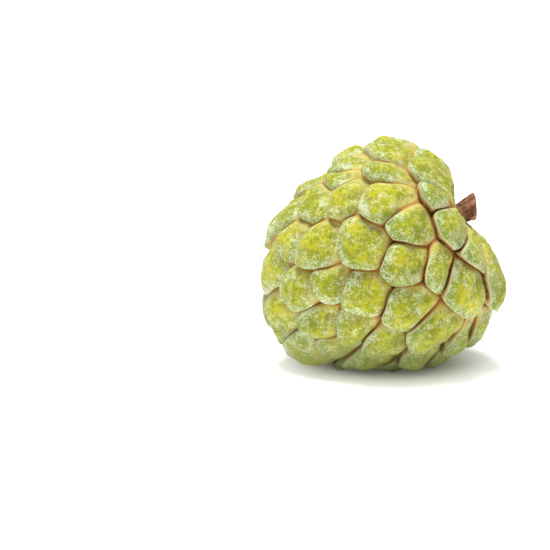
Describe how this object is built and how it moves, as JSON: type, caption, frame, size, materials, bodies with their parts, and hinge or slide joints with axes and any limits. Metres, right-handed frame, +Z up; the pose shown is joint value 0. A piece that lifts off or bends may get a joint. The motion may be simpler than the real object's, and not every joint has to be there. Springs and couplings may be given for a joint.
{
  "type": "custard apple",
  "caption": "Whole custard apple: a broad knobbly fruit covered in raised rounded scales, with a short woody stub of stalk in a pit at one end.",
  "frame": {"origin": "middle of the fruit's outline seen from above, on the surface that it rests on", "axes": "+X to the right as the fruit lies, towards the side that its stalk points to; +Y away from the front view; +Z up"},
  "size_m": [0.1004, 0.0938, 0.0935],
  "materials": {
    "skin": "matt, waxy bloom",
    "stalk": "rough bark"
  },
  "bodies": {
    "root": {"fruit": "skin", "stem": "stalk"}
  },
  "joints": []
}
